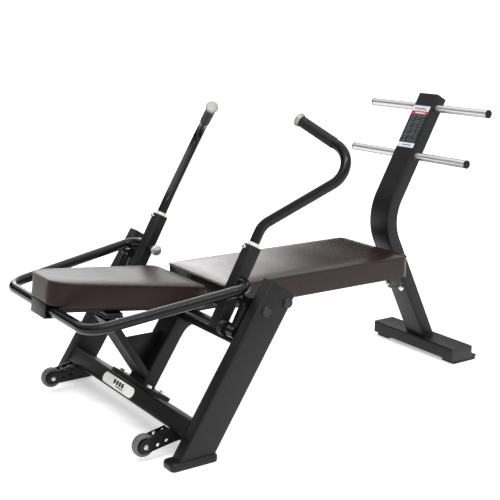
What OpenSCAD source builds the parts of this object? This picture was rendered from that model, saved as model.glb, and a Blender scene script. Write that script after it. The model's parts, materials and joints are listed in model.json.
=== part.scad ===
// Abdominal crunch bench: a fixed frame with a seat pad and a rear post with
// foot pegs, and a swinging back rest with a U-bar and two telescopic handles.
// Millimetres, +Z up, floor at z = 0, plane of symmetry y = 0, +X towards the
// foot pegs. Positions below are measured from a datum that is moved to the
// middle of the outline by origin_x.

/* [Main frame tube] */
// wide side of the main rectangular tube
tube_a = 100; // [80:5:120]
// narrow side of the main rectangular tube
tube_b = 50; // [40:5:60]
// wall of the main tube
tube_w = 3; // [2:0.5:5]
// outer corner radius of the main tube
tube_r = 7; // [3:1:12]

/* [Front legs] */
// lean of the front legs from the floor, degrees
lean = 57.1; // [50:0.1:70]
// x of the front top corner of a leg
leg_x = -228.5; // [-260:0.5:-200]
// z of the front top corner of a leg
leg_z = 508; // [480:1:540]
// inner face of each leg from the middle plane
leg_in = 401; // [350:1:440]
// height of the rubber foot caps
foot_h = 24; // [15:1:35]
// distance down the leg to the top of the lower cross beam
low_s = 461; // [440:1:480]
// distance down the leg to the top of the upper cross beam
up_s = 163; // [150:1:180]
// set-back of the upper cross beam behind the front of the legs
up_off = 54; // [50:1:60]

/* [Transport wheels] */
// radius of a transport wheel
wheel_r = 34; // [25:1:45]
// x of the wheel axle
wheel_x = -598; // [-620:1:-580]
// z of the wheel axle
wheel_z = 50; // [45:1:60]
// middle of each wheel from the middle plane
wheel_y = 337; // [300:1:360]
// width of the tyre
wheel_w = 24; // [18:1:30]

/* [Centre bracket] */
// set-back of the centre post behind the front of the legs
post_off = 30; // [20:1:40]
// width of the rest strut
strut_w = 100; // [60:5:100]
// thickness of the rest strut
strut_t = 25; // [20:1:40]
// lean of the rest strut from the vertical, degrees
strut_lean = 30.5; // [20:0.5:40]
// height of the top edge of the gusset plate
gusset_z = 262; // [240:1:280]

/* [Seat] */
// length of the seat pad
seat_l = 755; // [600:5:850]
// width of the seat pad
seat_w = 380; // [280:1:400]
// x of the front end of the seat pad
seat_x = -225; // [-240:1:-210]
// height of the underside of the seat board
seat_z = 355; // [330:1:380]
// thickness of both pad boards
board_t = 12; // [9:1:18]
// thickness of the seat pad's foam
seat_t = 69; // [45:1:80]

/* [Rear post] */
// lean of the lower run of the rear post from the vertical, degrees
post_low = 25.5; // [20:0.5:30]
// lean of the upper run of the rear post from the vertical, degrees
post_up = 29.2; // [20:0.1:35]
// centre-line radius of the bend in the rear post
post_r = 176; // [120:1:220]
// length of the upper run of the rear post
post_ul = 398; // [300:1:450]
// x of the centre of the bend
bend_x = 746.7; // [700:0.1:800]
// z of the centre of the bend
bend_z = 522; // [480:1:560]
// outer diameter of the foot pegs
peg_d = 28; // [22:1:32]
// overall length of a foot peg with its end caps
peg_l = 604; // [450:1:700]
// distance up the upper run to the upper foot peg
peg_hi = 357; // [300:1:380]
// distance up the upper run to the lower foot peg
peg_lo = 167; // [120:1:220]

/* [Rear foot] */
// half length of the rear foot across the bench
rear_half = 219; // [180:1:260]
// x of the middle of the rear foot
rear_x = 779; // [740:1:820]
// height of the top of the rear foot
rear_top = 60; // [50:1:70]
// height of the rubber pads under the rear foot
rear_pad = 12; // [8:1:20]

/* [Back rest] */
// x of the pivot axis
piv_x = -318; // [-340:1:-300]
// z of the pivot axis
piv_z = 352; // [330:1:370]
// diameter of the pivot shaft
shaft_d = 25; // [20:1:30]
// tilt of the back pad at rest, head end up, degrees
pad_tilt = 7.7; // [0:0.1:15]
// x of the top edge of the back pad at the hip end
pad_x = -277.3; // [-300:0.1:-260]
// z of the top edge of the back pad at the hip end
pad_z = 436.3; // [420:0.1:450]
// length of the back pad
pad_l = 479; // [400:1:550]
// half width of the back pad at the hip end
pad_hip = 171; // [150:1:190]
// half width that the straight side would have at the head end
pad_head = 105; // [80:1:130]
// half width of the cut-off head end
pad_tip = 58; // [40:1:80]
// thickness of the back pad's foam
pad_t = 62; // [45:1:80]
// width of the carrier beam under the back pad
car_w = 60; // [40:5:80]
// depth of the carrier beam under the back pad
car_d = 35; // [30:1:50]

/* [U-bar] */
// outer diameter of the U-bar tube
ubar_d = 32; // [28:1:38]
// x of the middle of the front cross run
ubar_x = -740; // [-760:1:-720]
// z of the middle of the front cross run
ubar_z = 403.4; // [390:0.1:415]
// rise of the U-bar towards the sleeves, degrees
ubar_rise = 8.45; // [0:0.05:15]
// spread of the arms towards the sleeves, degrees
ubar_spread = 8.1; // [0:0.1:15]
// half width of the U-bar at the front corners
ubar_half = 307.5; // [250:0.5:330]
// distance from the front run to the sleeves in the plane of the bar
ubar_l = 498.5; // [450:0.5:550]

/* [Sleeves and handles] */
// lean of the sleeves from the floor, degrees
slv_lean = 61; // [55:0.5:70]
// x of the top of a sleeve's axis
slv_x = -190.7; // [-210:0.1:-170]
// z of the top of a sleeve's axis
slv_z = 574.2; // [550:0.1:600]
// a sleeve's axis from the middle plane
slv_y = 290; // [270:1:310]
// depth of a sleeve along the bench
slv_a = 40; // [34:1:50]
// width of a sleeve across the bench
slv_b = 48; // [36:1:50]
// outer diameter of the handle tubes
hdl_d = 32; // [25:1:34]
// first bend of a handle, degrees
hdl_b1 = 38.8; // [20:0.1:60]
// direction of the first bend, degrees outwards from straight back
hdl_out = 58.7; // [0:0.1:90]
// second bend of a handle, degrees
hdl_b2 = 114.9; // [80:0.1:130]
// centre-line radius of the first bend
hdl_r1 = 68; // [40:1:90]
// centre-line radius of the second bend
hdl_r2 = 72; // [50:1:90]
// straight run from the sleeve's top to the first bend
hdl_l1 = 45.5; // [40:0.5:100]
// straight run between the bends
hdl_l2 = 222; // [150:1:300]
// straight run after the second bend
hdl_l3 = 143.5; // [100:0.5:200]
// length of tube held inside the sleeve
hdl_in = 185; // [120:5:200]
// outer diameter of the rubber grips
grip_d = 35; // [30:1:40]

/* [Hidden] */

origin_x = (pad_x - 478 * cos(pad_tilt) - 119 * sin(pad_tilt) + rear_x + 76) / 2;  // middle of the outline
leg_out = leg_in + tube_b;
leg_mid = leg_in + tube_b / 2;
up_h = 48;                       // height of the upper cross beam along the lean
up_d = tube_a - up_off;          // depth of the upper cross beam
flange_t = 12;
brk_y0 = 322; brk_y1 = 346;      // pivot bracket faces
brace_y = 381.5; brace_d = 32;
boss_l = 42;                     // length of the cross boss on a brace
slv_w = 2.5;
slot_l = 80;                     // slot in the handle tube for the pull pin
pin_s = 118;                     // pull pin's distance down the sleeve
black = [0.17, 0.17, 0.18]; rubber = [0.10, 0.10, 0.10];
brown = [0.27, 0.20, 0.18]; steel = [0.80, 0.80, 0.82];
cream = [0.88, 0.86, 0.80]; grey = [0.62, 0.63, 0.64];

// ---- shared shapes ---------------------------------------------------------
// outline of a rectangle a by b with corner radius r, n steps a corner
function rrp(a, b, r, n = 5) = [for (q = [0:3]) for (i = [0:n])
  let (cx = (q == 0 || q == 3 ? 1 : -1) * (a / 2 - r), cy = (q < 2 ? 1 : -1) * (b / 2 - r), t = q * 90 + 90 * i / n)
  [cx + r * cos(t), cy + r * sin(t)]];

// upright bar with rounded corners, hollow when w > 0
module rbar(a, b, l, r, w = 0) {
  linear_extrude(l) difference() {
    polygon(rrp(a, b, r));
    if (w > 0) polygon(rrp(a - 2 * w, b - 2 * w, max(r - w, 0.6)));
  }
}
// the same bar lying along Y, centred
module ybar(a, b, l, r, w = 0) { translate([0, l / 2, 0]) rotate([90, 0, 0]) rbar(a, b, l, r, w); }
// rod along Y from y0 to y1
module yrod(d, y0, y1) { translate([0, y1, 0]) rotate([90, 0, 0]) cylinder(h = y1 - y0, d = d, $fn = 48); }
// hexagon bolt head along Z with a washer
module bolt_head(af, h, wd) {
  cylinder(h = 1.6, d = wd, $fn = 36);
  translate([0, 0, 1.6]) cylinder(h = h, d = af / cos(30), $fn = 6);
}
// everything is drawn from the datum, then moved so the outline is centred
module place() { translate([-origin_x, 0, 0]) children(); }
// frame of the front legs: x back from the front face, z up along the lean
module legs_frame() { translate([leg_x, 0, leg_z]) rotate([0, 90 - lean, 0]) children(); }
// frame of the sleeves: z up along the sleeve from its top
module sleeve_frame(sy) { translate([slv_x, sy * slv_y, slv_z]) rotate([0, 90 - slv_lean, 0]) children(); }
// frame of the back pad: z up from the pad's top edge at the hip end
module pad_frame() { translate([pad_x, 0, pad_z]) rotate([0, pad_tilt, 0]) children(); }
// lower run of the rear post: origin at the end of the bend, z up the run
module post_low_frame() { translate([bend_x - post_r * cos(post_low), 0, bend_z - post_r * sin(post_low)]) rotate([0, -post_low, 0]) children(); }
// upper run of the rear post: origin at the end of the bend, z up the run
module post_up_frame() { translate([bend_x - post_r * cos(post_up), 0, bend_z + post_r * sin(post_up)]) rotate([0, post_up, 0]) children(); }
// one straight run of a round tube heading +Z; e0 and e1 carry its ends into the bends beside it
module run(d, l, w, e0 = 0, e1 = 0) { translate([0, 0, -e0]) difference() { cylinder(h = l + e0 + e1, d = d, $fn = 48); if (w > 0) translate([0, 0, -1]) cylinder(h = l + e0 + e1 + 2, d = d - 2 * w, $fn = 48); } }
// one bend from +Z towards +X, swollen by a tenth of a millimetre as a bent tube is
module bend(d, r, a, w) {
  translate([r, 0, 0]) rotate([90, 0, 0]) rotate([0, 0, 180 - a]) rotate_extrude(angle = a, $fn = 96)
    translate([r, 0]) difference() { circle(d = d + 0.12, $fn = 40); if (w > 0) circle(d = d - 2 * w - 0.12, $fn = 40); }
}
// moves to the end of a bend
module after(r, a) { translate([r * (1 - cos(a)), 0, r * sin(a)]) rotate([0, a, 0]) children(); }

// ---- fixed frame -----------------------------------------------------------
module leg(sy) {
  color(black) difference() {
    legs_frame() translate([tube_a / 2, sy * leg_mid, -640]) {
      rbar(tube_a, tube_b, 640, tube_r, tube_w);
      translate([0, 0, 636]) rbar(tube_a - 2 * tube_w, tube_b - 2 * tube_w, 4, tube_r - tube_w);
    }
    translate([leg_x - 500, sy * leg_mid - 60, -300]) cube([600, 120, 300 + 10]);
  }
}
module foot_cap(sy) {
  color(rubber) difference() {
    translate([-493, sy * 425.5, 0]) {
      linear_extrude(foot_h - 7) polygon(rrp(154, 64, 12));
      translate([0, 0, foot_h - 7]) linear_extrude(4) polygon(rrp(150, 62, 11));
      translate([0, 0, foot_h - 3]) linear_extrude(3) polygon(rrp(145, 59, 9));
    }
    intersection() {
      legs_frame() translate([tube_a / 2, sy * leg_mid, -640]) rbar(tube_a + 0.2, tube_b + 0.2, 640, tube_r);
      translate([-900, sy * leg_mid - 60, 9.9]) cube([800, 120, 300]);
    }
  }
}
module lower_cross_beam() {
  color(black) legs_frame() translate([tube_a / 2, 0, -(low_s + 26)]) ybar(tube_a, 52, 2 * leg_in, tube_r, tube_w);
}
module badge_plate() {
  color(cream) legs_frame() translate([0, 30, -(low_s + 28)]) rotate([0, -90, 0]) {
    linear_extrude(2.5) union() { square([34, 176], center = true); for (s = [-1, 1]) translate([0, s * 88]) circle(d = 34, $fn = 48); }
  }
}
module upper_cross_beam() {
  color(black) legs_frame() translate([up_off + up_d / 2, 0, -(up_s + up_h / 2)]) ybar(up_d, up_h, 2 * leg_in, 6, tube_w);
}
// two domed bolt caps on the outer face of each leg
module leg_bolt_caps() {
  for (sy = [-1, 1]) for (p = [[-249.6, 420.2], [-174.4, 433.8]])
    color(rubber) translate([p[0], sy * leg_out, p[1]]) rotate([-sy * 90, 0, 0]) {
      cylinder(h = 3, d = 32, $fn = 48);
      translate([0, 0, 3]) cylinder(h = 3, d1 = 32, d2 = 24, $fn = 48);
    }
}
// fork for one wheel: two side plates and a top web under the lower beam
module wheel_plate() {
  difference() {
    union() {
      cylinder(h = 4, r = 21, $fn = 48);
      linear_extrude(4) polygon([[-4.5, 20.5], [80, 37], [84, 31.3], [139, -4.2], [96, -4.5], [8.5, -19.2]]);
    }
    translate([0, 0, -1]) cylinder(h = 6, d = 10.1, $fn = 36);
    for (p = [[43, 21], [38, -2], [66, 6], [71, 24]]) translate([p[0], p[1], -1]) cylinder(h = 6, d = 11, $fn = 36);
  }
}
module wheel_bracket(sy) {
  color(black) translate([wheel_x, sy * wheel_y, wheel_z]) difference() {
    union() {
      for (s = [-1, 1]) translate([0, s * 17 + 2, 0]) rotate([90, 0, 0]) wheel_plate();
      // web that joins the two plates behind the tyre
      translate([48, -17, 0]) rotate([0, -11, 0]) translate([0, 0, 17.5]) cube([34, 34, 4]);
    }
    legs_hole();
  }
}
// the lower beam's outside, taken out of what is welded against it
module legs_hole() {
  translate([-wheel_x, 0, -wheel_z]) legs_frame() translate([-0.01, -600, -(low_s + 52.01)]) cube([tube_a + 20, 1200, 60]);
}
module wheel_axles() {
  color(steel) for (sy = [-1, 1]) translate([wheel_x, sy * wheel_y, wheel_z]) {
    yrod(10, -22, 22);
    for (s = [-1, 1]) translate([0, s * 19.05, 0]) rotate([-s * 90, 0, 0]) bolt_head(11, 5, 15);
  }
}
module tyre(sy) {
  color(grey) translate([wheel_x, sy * wheel_y, wheel_z]) difference() {
    union() {
      yrod(2 * wheel_r, -wheel_w / 2 + 4, wheel_w / 2 - 4);
      for (s = [-1, 1]) translate([0, s * (wheel_w / 2 - 4), 0]) rotate([-s * 90, 0, 0]) cylinder(h = 4, r1 = wheel_r, r2 = wheel_r - 4, $fn = 48);
    }
    yrod(46, -wheel_w, wheel_w);
  }
}
module hub(sy) {
  color(rubber) translate([wheel_x, sy * wheel_y, wheel_z]) difference() {
    union() { yrod(46, -8, 8); yrod(22, -13.5, 13.5); }
    yrod(10.1, -wheel_w, wheel_w);
    for (s = [-1, 1]) difference() {
      yrod(40, s > 0 ? 4 : -9, s > 0 ? 9 : -4);
      yrod(26, -12, 12);
      for (k = [0:4]) rotate([0, 72 * k, 0]) translate([-3, -12, 10]) cube([6, 24, 15]);
    }
  }
}
module base_flange() {
  color(black) legs_frame() difference() {
    translate([8, -125, -low_s]) cube([90, 250, flange_t]);
    for (x = [26, 80]) for (y = [-93, 93]) translate([x, y, -low_s - 1]) cylinder(h = flange_t + 2, d = 11, $fn = 36);
  }
}
module base_bolts() {
  color(steel) legs_frame() for (x = [26, 80]) for (y = [-93, 93]) translate([x, y, -low_s + flange_t]) {
    bolt_head(17, 7, 21);
    translate([0, 0, -flange_t + 0.05]) cylinder(h = flange_t, d = 10, $fn = 36);
  }
}
module centre_post() {
  l = low_s - flange_t - (up_s + up_h);
  color(black) legs_frame() {
    translate([post_off + tube_b / 2, 0, -(low_s - flange_t)]) rbar(tube_b, tube_a, l, tube_r, tube_w);
    // curved web behind the top of the post, under the cross beam
    translate([post_off + tube_b, tube_a / 2 - 4, -(up_s + up_h)]) rotate([90, 0, 0]) linear_extrude(tube_a - 8)
      polygon(concat([[0, 0]], [[0, -46]], [for (i = [1:9]) [20 - 20 * cos(10 * i), -46 + 46 * sin(10 * i)]]));
  }
}
// position along the rest strut: origin where its middle line leaves the post
module strut_frame() { translate([-427.7, 0, 134]) rotate([0, -strut_lean, 0]) children(); }
module post_front_cut() { legs_frame() translate([post_off, -200, -900]) cube([400, 400, 1200]); }
module rest_strut() {
  color(black) difference() {
    union() {
      strut_frame() translate([0, 0, -30]) rbar(strut_t, strut_w, 273, 5, 2.5);
      pad_frame() translate([-276, -strut_w / 2, -(pad_t + board_t + car_d) - 16]) cube([60, strut_w, 6]);
    }
    post_front_cut();
    pad_frame() translate([-400, -200, -(pad_t + board_t + car_d) - 10]) cube([300, 400, 200]);
  }
}
module gusset_plate() {
  // front face of the post and rear face of the strut, as x at a height z
  color(black) translate([0, 4, 0]) rotate([90, 0, 0]) linear_extrude(8)
    polygon([[post_fx(152), 152], [strut_rx(152), 152], [strut_rx(gusset_z), gusset_z], [post_fx(gusset_z), gusset_z]]);
}
function post_fx(z) = leg_x - 0.03 + post_off / sin(lean) - (leg_z - z) / tan(lean);
function strut_rx(z) = -427.67 + strut_t / 2 / cos(strut_lean) - (z - 134) * tan(strut_lean);
module rest_bumper() {
  color(rubber) pad_frame() translate([-274, -48, -(pad_t + board_t + car_d) - 10]) cube([56, 96, 9.9]);
}
module seat_beam() {
  color(black) difference() {
    translate([-262, 0, seat_z - 21.1]) rotate([0, 90, 0]) rbar(42, 60, 925, 5, 3);
    // cut to the upper cross beam at the front and to the flange at the rear
    legs_frame() translate([up_off - 40, -200, -(up_s + up_h + 200)]) cube([tube_a - up_off + 40, 400, 200 + up_h]);
    post_low_frame() translate([-tube_b / 2 - 10, -200, -400]) cube([400, 400, 700]);
  }
}
module seat_board() {
  color(black) translate([seat_x + seat_l / 2, 0, seat_z]) linear_extrude(board_t) polygon(rrp(seat_l - 12, seat_w - 12, 20));
}
module seat_pad() {
  color(brown) translate([seat_x + seat_l / 2, 0, seat_z + board_t]) {
    linear_extrude(seat_t - 8) polygon(rrp(seat_l, seat_w, 24));
    translate([0, 0, seat_t - 8]) linear_extrude(8) polygon(rrp(seat_l - 8, seat_w - 8, 22));
  }
}
module seat_flange() {
  color(black) post_low_frame() difference() {
    translate([-tube_b / 2 - 10, -50, -204]) cube([10, 100, 104]);
    for (z = [-182, -122]) for (y = [-40, 40]) translate([-60, y, z]) rotate([0, 90, 0]) cylinder(h = 40, d = 11, $fn = 36);
  }
}
module seat_flange_bolts() {
  color(steel) post_low_frame() for (z = [-182, -122]) for (y = [-40, 40]) translate([-tube_b / 2 - 10, y, z]) rotate([0, -90, 0]) {
    bolt_head(15, 7, 18);
    translate([0, 0, -9.9]) cylinder(h = 10, d = 10, $fn = 36);
  }
}
module rear_post() {
  color(black) difference() {
    union() {
      post_low_frame() translate([0, 0, -520]) rbar(tube_b, tube_a, 520.5, tube_r, tube_w);
      translate([bend_x, 0, bend_z]) rotate([90, 0, 0]) rotate([0, 0, 180 - post_up]) rotate_extrude(angle = post_low + post_up, $fn = 96)
        translate([post_r, 0]) difference() {
          polygon(rrp(tube_b + 0.12, tube_a + 0.12, tube_r));
          polygon(rrp(tube_b - 2 * tube_w - 0.12, tube_a - 2 * tube_w - 0.12, tube_r - tube_w));
        }
      post_up_frame() translate([0, 0, -0.5]) rbar(tube_b, tube_a, post_ul + 0.5, tube_r, tube_w);
    }
    translate([600, -200, -300]) cube([400, 400, 300 + rear_top]);
    post_up_frame() for (z = [peg_lo, peg_hi]) translate([0, 0, z]) yrod(peg_d, -80, 80);
  }
}
module rear_post_cap() {
  color(black) post_up_frame() {
    translate([0, 0, post_ul]) rbar(tube_b, tube_a, 4, tube_r);
    translate([0, 0, post_ul - 12]) rbar(tube_b - 2 * tube_w - 0.2, tube_a - 2 * tube_w - 0.2, 12, tube_r - tube_w);
  }
}
module placard() {
  color([0.85, 0.86, 0.88]) post_up_frame() translate([-tube_b / 2, 0, 268.5]) rotate([0, -90, 0]) linear_extrude(1.6) polygon(rrp(172, 88, 5));
}
module foot_pegs() {
  color(steel) post_up_frame() for (z = [peg_lo, peg_hi]) translate([0, 0, z]) difference() {
    yrod(peg_d, -(peg_l / 2 - 3), peg_l / 2 - 3);
    yrod(peg_d - 4, -peg_l, peg_l);
  }
}
module peg_end_caps() {
  color(rubber) post_up_frame() for (z = [peg_lo, peg_hi]) for (s = [-1, 1]) translate([0, s * (peg_l / 2 - 3), z]) rotate([-s * 90, 0, 0]) {
    cylinder(h = 3, d = peg_d + 1.5, $fn = 48);
    translate([0, 0, -14]) cylinder(h = 14, d = peg_d - 4.1, $fn = 48);
  }
}
module rear_foot() {
  color(black) translate([rear_x, 0, (rear_top + rear_pad) / 2]) ybar(tube_a, rear_top - rear_pad, 2 * rear_half - 6, tube_r, tube_w);
}
module rear_foot_end_caps() {
  color(rubber) translate([rear_x, 0, (rear_top + rear_pad) / 2]) for (s = [-1, 1]) {
    translate([0, s * (rear_half - 1.5), 0]) ybar(tube_a, rear_top - rear_pad, 3, tube_r);
    translate([0, s * (rear_half - 9), 0]) ybar(tube_a - 2 * tube_w - 0.2, rear_top - rear_pad - 2 * tube_w - 0.2, 12, tube_r - tube_w);
  }
}
// rubber pads under the rear foot, with a lip behind it
module rear_foot_pads() {
  color(rubber) for (s = [-1, 1]) {
    translate([rear_x + 19.5, s * 183, 0]) linear_extrude(rear_pad) polygon(rrp(113, 66, 6));
    translate([rear_x + 50.1, s * 183 - 33, rear_pad - 0.5]) cube([25.9, 66, 7.5]);
  }
}
// bearing block for the pivot shaft, in front of the upper cross beam
module pivot_brackets() {
  color(black) for (s = [-1, 1]) difference() {
    union() {
      translate([piv_x, 0, piv_z]) yrod(46, s > 0 ? brk_y0 : -brk_y1, s > 0 ? brk_y1 : -brk_y0);
      translate([0, s * (brk_y0 + brk_y1) / 2, 0]) piv_to_beam();
    }
    translate([piv_x, 0, piv_z]) yrod(32, -500, 500);
  }
}
// distance of the pivot behind the front of the legs, and down them
piv_off = (piv_x - leg_x) * sin(lean) - (piv_z - leg_z) * cos(lean);
piv_s = -((piv_x - leg_x) * cos(lean) + (piv_z - leg_z) * sin(lean));
module piv_to_beam() { legs_frame() translate([piv_off, -(brk_y1 - brk_y0) / 2 + 1, -piv_s - 16.5]) cube([up_off - piv_off - 0.02, brk_y1 - brk_y0 - 2, 33]); }
module pivot_bushes() {
  color(rubber) for (s = [-1, 1]) translate([piv_x, 0, piv_z]) difference() {
    union() {
      yrod(32, s > 0 ? brk_y0 : -brk_y1, s > 0 ? brk_y1 : -brk_y0);
      yrod(38, s > 0 ? brk_y0 - 3 : -brk_y0, s > 0 ? brk_y0 : -brk_y0 + 3);
    }
    yrod(shaft_d + 0.1, -500, 500);
  }
}
module bracket_bolts() {
  color(steel) for (s = [-1, 1]) legs_frame() translate([piv_off + 33, s * (brk_y1 - 1), -piv_s]) rotate([-s * 90, 0, 0]) bolt_head(13, 5.5, 16);
}

// ---- swinging back rest ----------------------------------------------------
module shaft_solid(d) { translate([piv_x, 0, piv_z]) yrod(d, -386, 386); }
module pivot_shaft() { color(steel) shaft_solid(shaft_d); }
module u_half() {
  translate([ubar_x, 0, ubar_z]) rotate([0, -ubar_rise, 0]) rotate([90, 0, 0]) {
    l1 = ubar_half - 70 * tan((90 - ubar_spread) / 2);
    run(ubar_d, l1, 2.5, 0.5, 0.5);
    translate([0, 0, l1]) {
      bend(ubar_d, 70, 90 - ubar_spread, 2.5);
      after(70, 90 - ubar_spread) {
        l2 = ubar_l / cos(ubar_spread) - 70 * tan((90 - ubar_spread) / 2) - 45 * tan((90 + ubar_spread) / 2);
        run(ubar_d, l2, 2.5, 0.5, 0.5);
        translate([0, 0, l2]) {
          bend(ubar_d, 45, 90 + ubar_spread, 2.5);
          after(45, 90 + ubar_spread) run(ubar_d, ubar_half + ubar_l * tan(ubar_spread) - 45 * tan((90 + ubar_spread) / 2) - slv_y - slv_b / 2 - 0.03, 2.5, 0.5);
        }
      }
    }
  }
}
module u_bar() { color(black) { u_half(); mirror([0, 1, 0]) u_half(); } }
module sleeve(sy) {
  color(black) difference() {
    sleeve_frame(sy) translate([0, 0, -270]) rbar(slv_a, slv_b, 270, 7, slv_w);
    shaft_solid(shaft_d);
    // holes for the pull pin's housing and the set screw
    if (sy > 0) sleeve_frame(sy) translate([0, 0, -pin_s]) yrod(14, -40, 0);
    sleeve_frame(sy) translate([-40, 0, -12]) rotate([0, 90, 0]) cylinder(h = 40, d = 6.1, $fn = 36);
  }
}
// round brace from the shaft up to a short cross boss under the end of the U-bar
module brace(sy) {
  color(black) difference() {
    translate([piv_x, sy * brace_y, piv_z]) rotate([0, 90 - 61.9, 0]) {
      cylinder(h = 96, d = brace_d - 1.2, $fn = 48);
      translate([0, 0, 96]) yrod(brace_d, sy > 0 ? -(boss_l - 16) : -16, sy > 0 ? 16 : boss_l - 16);
      yrod(brace_d + 4, -16, 16);
    }
    shaft_solid(shaft_d);
  }
}
module tip_bracket() {
  z0 = -(pad_t + board_t);
  color(black) pad_frame() translate([-478, -53, z0 - 45]) difference() {
    cube([50, 106, 45]);
    translate([5, -1, 5]) cube([40, 108, 35.8]);
  }
}
module carrier_beam() {
  z0 = -(pad_t + board_t);
  color(black) difference() {
    pad_frame() translate([-428, 0, z0 - car_d / 2]) rotate([0, 90, 0]) rbar(car_d, car_w, 417, 6, 3);
    shaft_solid(shaft_d);
  }
}
// half width of the back pad, u = 0 at the head end and 1 at the hip end
function pad_hw(u) = pad_head + (pad_hip - pad_head) * u - (pad_head - pad_tip) * exp(-u / 0.045);
function pad_cut(x, l, r) = x < l - r ? 0 : r - sqrt(max(0, r * r - pow(x - (l - r), 2)));
function pad_side(inset, s) = [for (i = [0:40]) let (u = pow(i / 40, 1.6), x = inset + u * (pad_l - 2 * inset)) [-pad_l + x, s * (pad_hw(x / pad_l) - inset - pad_cut(x + inset, pad_l, 20))]];
function rev(v) = [for (i = [len(v) - 1:-1:0]) v[i]];
module back_board() {
  color(black) pad_frame() translate([0, 0, -(pad_t + board_t)]) linear_extrude(board_t) polygon(concat(pad_side(6, -1), rev(pad_side(6, 1))));
}
module back_pad() {
  color(brown) pad_frame() translate([0, 0, -pad_t]) {
    linear_extrude(pad_t) polygon(concat(pad_side(0, -1), rev(pad_side(0, 1))));
    linear_extrude(pad_t + 6) polygon(concat(pad_side(12, -1), rev(pad_side(12, 1))));
  }
}
// plastic guide in the top of each sleeve, with the collar that shows above it
module sleeve_collars() {
  color(cream) for (sy = [-1, 1]) sleeve_frame(sy) difference() {
    union() {
      translate([0, 0, -45]) rbar(slv_a - 2 * slv_w, slv_b - 2 * slv_w, 45, 4.5);
      rbar(slv_a - 1, slv_b - 1, 2.5, 6.5);
      translate([0, 0, 2.5]) cylinder(h = 8.5, d1 = 39, d2 = 35.5, $fn = 64);
    }
    translate([0, 0, -50]) cylinder(h = 80, d = hdl_d + 0.1, $fn = 48);
    translate([-40, 0, -12]) rotate([0, 90, 0]) cylinder(h = 40, d = 6.1, $fn = 36);
  }
}
module set_screws() {
  color(steel) for (sy = [-1, 1]) sleeve_frame(sy) translate([-slv_a / 2 - 13, 0, -12]) rotate([0, 90, 0]) {
    cylinder(h = 1.5, d1 = 10, d2 = 13, $fn = 48);
    translate([0, 0, 1.5]) cylinder(h = 6, d = 13, $fn = 48);
    translate([0, 0, 7.5]) cylinder(h = 9.3, d = 6, $fn = 36);
  }
}
// threaded barrel that guides the pull pin on the inner face of the left sleeve
module pin_frame() { sleeve_frame(1) translate([0, -slv_b / 2, -pin_s]) rotate([90, 0, 0]) children(); }
module pin_housing() {
  color(black) pin_frame() difference() {
    union() {
      cylinder(h = 6, d = 24, $fn = 6);
      translate([0, 0, 6]) cylinder(h = 22, d = 17, $fn = 48);
      translate([0, 0, 28]) cylinder(h = 3, d1 = 17, d2 = 14, $fn = 48);
      translate([0, 0, -slv_w]) cylinder(h = slv_w, d = 14, $fn = 48);
    }
    translate([0, 0, -10]) cylinder(h = 60, d = 8.1, $fn = 48);
  }
}
// plunger with a knurled disc knob
module pull_pin() {
  color(steel) pin_frame() {
    translate([0, 0, -11.4]) cylinder(h = 46, d = 8, $fn = 48);
    translate([0, 0, 34]) cylinder(h = 10, d1 = 14, d2 = 20, $fn = 48);
    translate([0, 0, 44]) linear_extrude(9) polygon([for (i = [0:95]) let (r = i % 2 == 0 ? 18.6 : 18) [r * cos(i * 3.75), r * sin(i * 3.75)]]);
    translate([0, 0, 53]) cylinder(h = 1.5, d1 = 35, d2 = 32, $fn = 48);
    translate([0, 0, 54.5]) cylinder(h = 1.2, d = 9, $fn = 48);
  }
}

// ---- handles ---------------------------------------------------------------
// path of one handle: children(0) along each run are drawn by the callers
module handle_end(sy) {
  sleeve_frame(sy) translate([0, 0, hdl_l1]) rotate([0, 0, sy * hdl_out]) after(hdl_r1, hdl_b1)
    translate([0, 0, hdl_l2]) rotate([0, 0, 180 + sy * 2.4]) after(hdl_r2, hdl_b2) children();
}
module handle(sy) {
  color(black) {
    difference() {
      sleeve_frame(sy) translate([0, 0, -hdl_in]) run(hdl_d, hdl_in + hdl_l1, 2.5, 0, 0.5);
      if (sy > 0) sleeve_frame(sy) translate([-4.6, -20, -pin_s - 55]) cube([9.2, 20, slot_l]);
    }
    sleeve_frame(sy) translate([0, 0, hdl_l1]) rotate([0, 0, sy * hdl_out]) {
      bend(hdl_d, hdl_r1, hdl_b1, 2.5);
      after(hdl_r1, hdl_b1) {
        run(hdl_d, hdl_l2, 2.5, 0.5, 0.5);
        translate([0, 0, hdl_l2]) rotate([0, 0, 180 + sy * 2.4]) {
          bend(hdl_d, hdl_r2, hdl_b2, 2.5);
          after(hdl_r2, hdl_b2) run(hdl_d, hdl_l3, 2.5, 0.5);
        }
      }
    }
    sleeve_frame(sy) translate([0, 0, -hdl_in - 14]) rbar(slv_a - 2 * slv_w - 0.2, slv_b - 2 * slv_w - 0.2, 14.5, 4.5);
  }
}
module grip(sy) {
  color(rubber) handle_end(sy) translate([0, 0, hdl_l3 - 132]) difference() {
    cylinder(h = 132, d = grip_d, $fn = 48);
    translate([0, 0, -1]) cylinder(h = 134, d = hdl_d, $fn = 48);
  }
}
module grip_cap(sy) {
  color(grey) handle_end(sy) translate([0, 0, hdl_l3]) {
    rotate_extrude($fn = 64) polygon([[0, -12], [hdl_d / 2 - 2.55, -12], [hdl_d / 2 - 2.55, 0], [18.2, 0], [20.4, 4], [21.6, 8], [22, 11], [21.6, 13], [20.4, 14.6], [18.4, 15.4], [0, 15.4]]);
  }
}

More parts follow.
